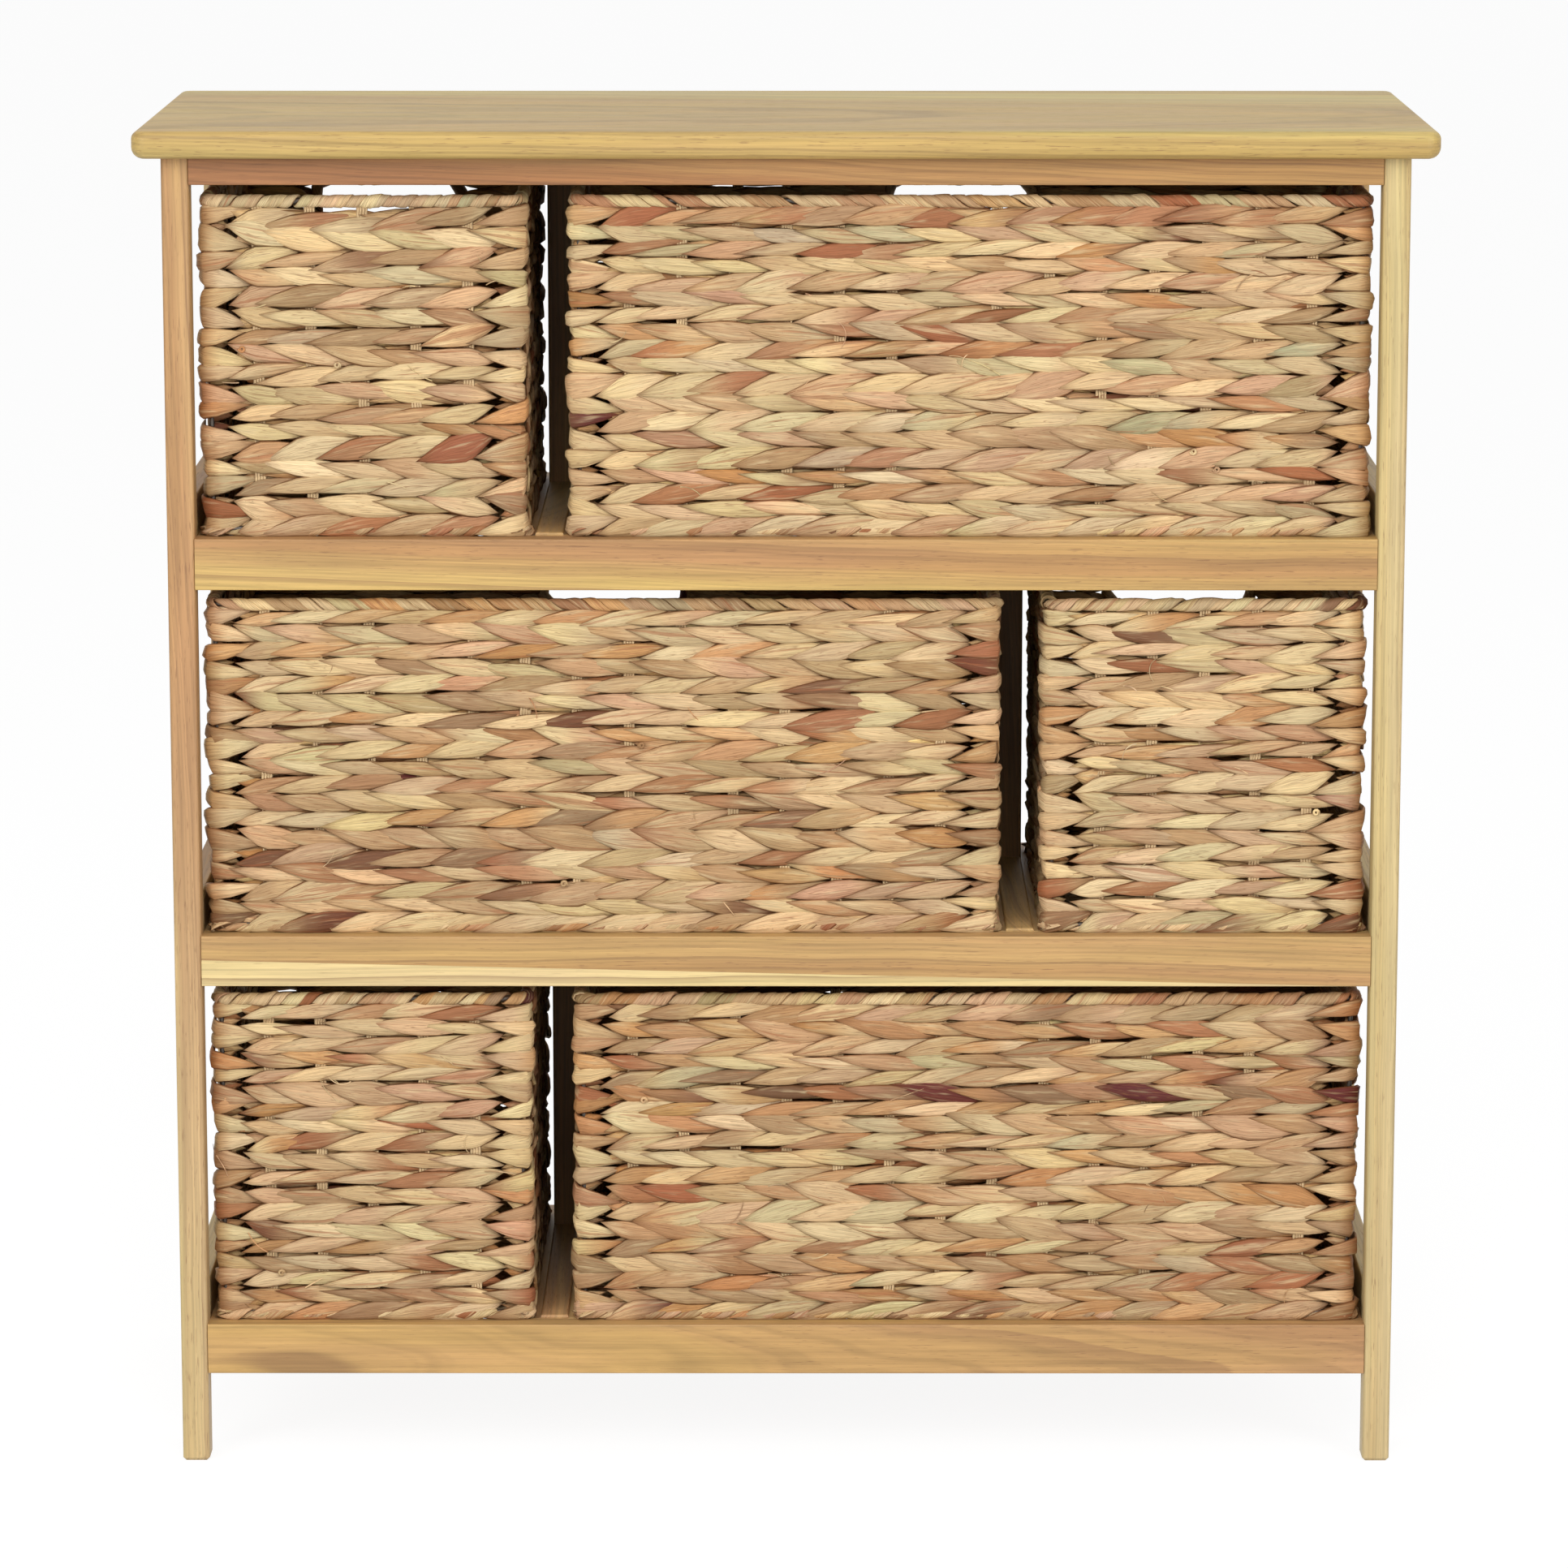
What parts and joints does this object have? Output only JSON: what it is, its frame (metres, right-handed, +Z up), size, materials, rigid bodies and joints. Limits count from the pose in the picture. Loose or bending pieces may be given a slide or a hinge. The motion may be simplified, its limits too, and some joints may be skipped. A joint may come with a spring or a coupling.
{
  "type": "drawer unit",
  "caption": "Free-standing open wooden frame with an overhanging rounded top board and tiers of small and large woven baskets that slide out like drawers.",
  "frame": {"origin": "on the floor, under the middle of the top board, at the bottom centre of the overall box", "axes": "+Z up, +X to the right as seen from the front, front faces -Y"},
  "size_m": [0.8, 0.33, 0.845],
  "materials": {
    "board_wood": "oiled light hardwood, straight grain",
    "frame_wood": "oiled light hardwood, straight grain",
    "dowel_wood": "plain fluted beech dowel",
    "woven_leaf": "dried water hyacinth leaf, natural, woven in mirrored rows",
    "rim_leaf": "dried water hyacinth leaf, natural, wound round the rim",
    "basket_wire": "dull iron wire",
    "screw_steel": "zinc plated"
  },
  "bodies": {
    "frame": {"front_left_post": "frame_wood", "front_right_post": "frame_wood", "joint_dowels": "dowel_wood", "ledge_screws": "screw_steel", "lower_basket_guide": "frame_wood", "lower_centre_bearer": "frame_wood", "lower_front_rail": "frame_wood", "lower_left_ledge": "frame_wood", "lower_left_rail": "frame_wood", "lower_rear_divider": "frame_wood", "lower_rear_rail": "frame_wood", "lower_right_ledge": "frame_wood", "lower_right_rail": "frame_wood", "middle_basket_guide": "frame_wood", "middle_centre_bearer": "frame_wood", "middle_front_rail": "frame_wood", "middle_left_ledge": "frame_wood", "middle_left_rail": "frame_wood", "middle_rear_divider": "frame_wood", "middle_rear_rail": "frame_wood", "middle_right_ledge": "frame_wood", "middle_right_rail": "frame_wood", "rear_left_post": "frame_wood", "rear_right_post": "frame_wood", "top_board": "board_wood", "top_board_screws": "screw_steel", "top_front_rail": "frame_wood", "top_left_rail": "frame_wood", "top_rear_rail": "frame_wood", "top_right_rail": "frame_wood", "upper_basket_guide": "frame_wood", "upper_centre_bearer": "frame_wood", "upper_front_rail": "frame_wood", "upper_left_ledge": "frame_wood", "upper_left_rail": "frame_wood", "upper_rear_divider": "frame_wood", "upper_rear_rail": "frame_wood", "upper_right_ledge": "frame_wood", "upper_right_rail": "frame_wood"},
    "lower_small_basket": {"lower_small_basket_woven_body": "woven_leaf", "lower_small_basket_rim_wrap": "rim_leaf", "lower_small_basket_wire_frame": "basket_wire"},
    "lower_large_basket": {"lower_large_basket_woven_body": "woven_leaf", "lower_large_basket_rim_wrap": "rim_leaf", "lower_large_basket_wire_frame": "basket_wire"},
    "middle_small_basket": {"middle_small_basket_woven_body": "woven_leaf", "middle_small_basket_rim_wrap": "rim_leaf", "middle_small_basket_wire_frame": "basket_wire"},
    "middle_large_basket": {"middle_large_basket_woven_body": "woven_leaf", "middle_large_basket_rim_wrap": "rim_leaf", "middle_large_basket_wire_frame": "basket_wire"},
    "upper_small_basket": {"upper_small_basket_woven_body": "woven_leaf", "upper_small_basket_rim_wrap": "rim_leaf", "upper_small_basket_wire_frame": "basket_wire"},
    "upper_large_basket": {"upper_large_basket_woven_body": "woven_leaf", "upper_large_basket_rim_wrap": "rim_leaf", "upper_large_basket_wire_frame": "basket_wire"}
  },
  "joints": [
    {"name": "lower_small_basket_slide", "type": "slide", "parent": "frame", "child": "lower_small_basket", "axis": [0, -1, 0], "range_m": [0, 0.22]},
    {"name": "lower_large_basket_slide", "type": "slide", "parent": "frame", "child": "lower_large_basket", "axis": [0, -1, 0], "range_m": [0, 0.22]},
    {"name": "middle_small_basket_slide", "type": "slide", "parent": "frame", "child": "middle_small_basket", "axis": [0, -1, 0], "range_m": [0, 0.22]},
    {"name": "middle_large_basket_slide", "type": "slide", "parent": "frame", "child": "middle_large_basket", "axis": [0, -1, 0], "range_m": [0, 0.22]},
    {"name": "upper_small_basket_slide", "type": "slide", "parent": "frame", "child": "upper_small_basket", "axis": [0, -1, 0], "range_m": [0, 0.22]},
    {"name": "upper_large_basket_slide", "type": "slide", "parent": "frame", "child": "upper_large_basket", "axis": [0, -1, 0], "range_m": [0, 0.22]}
  ]
}
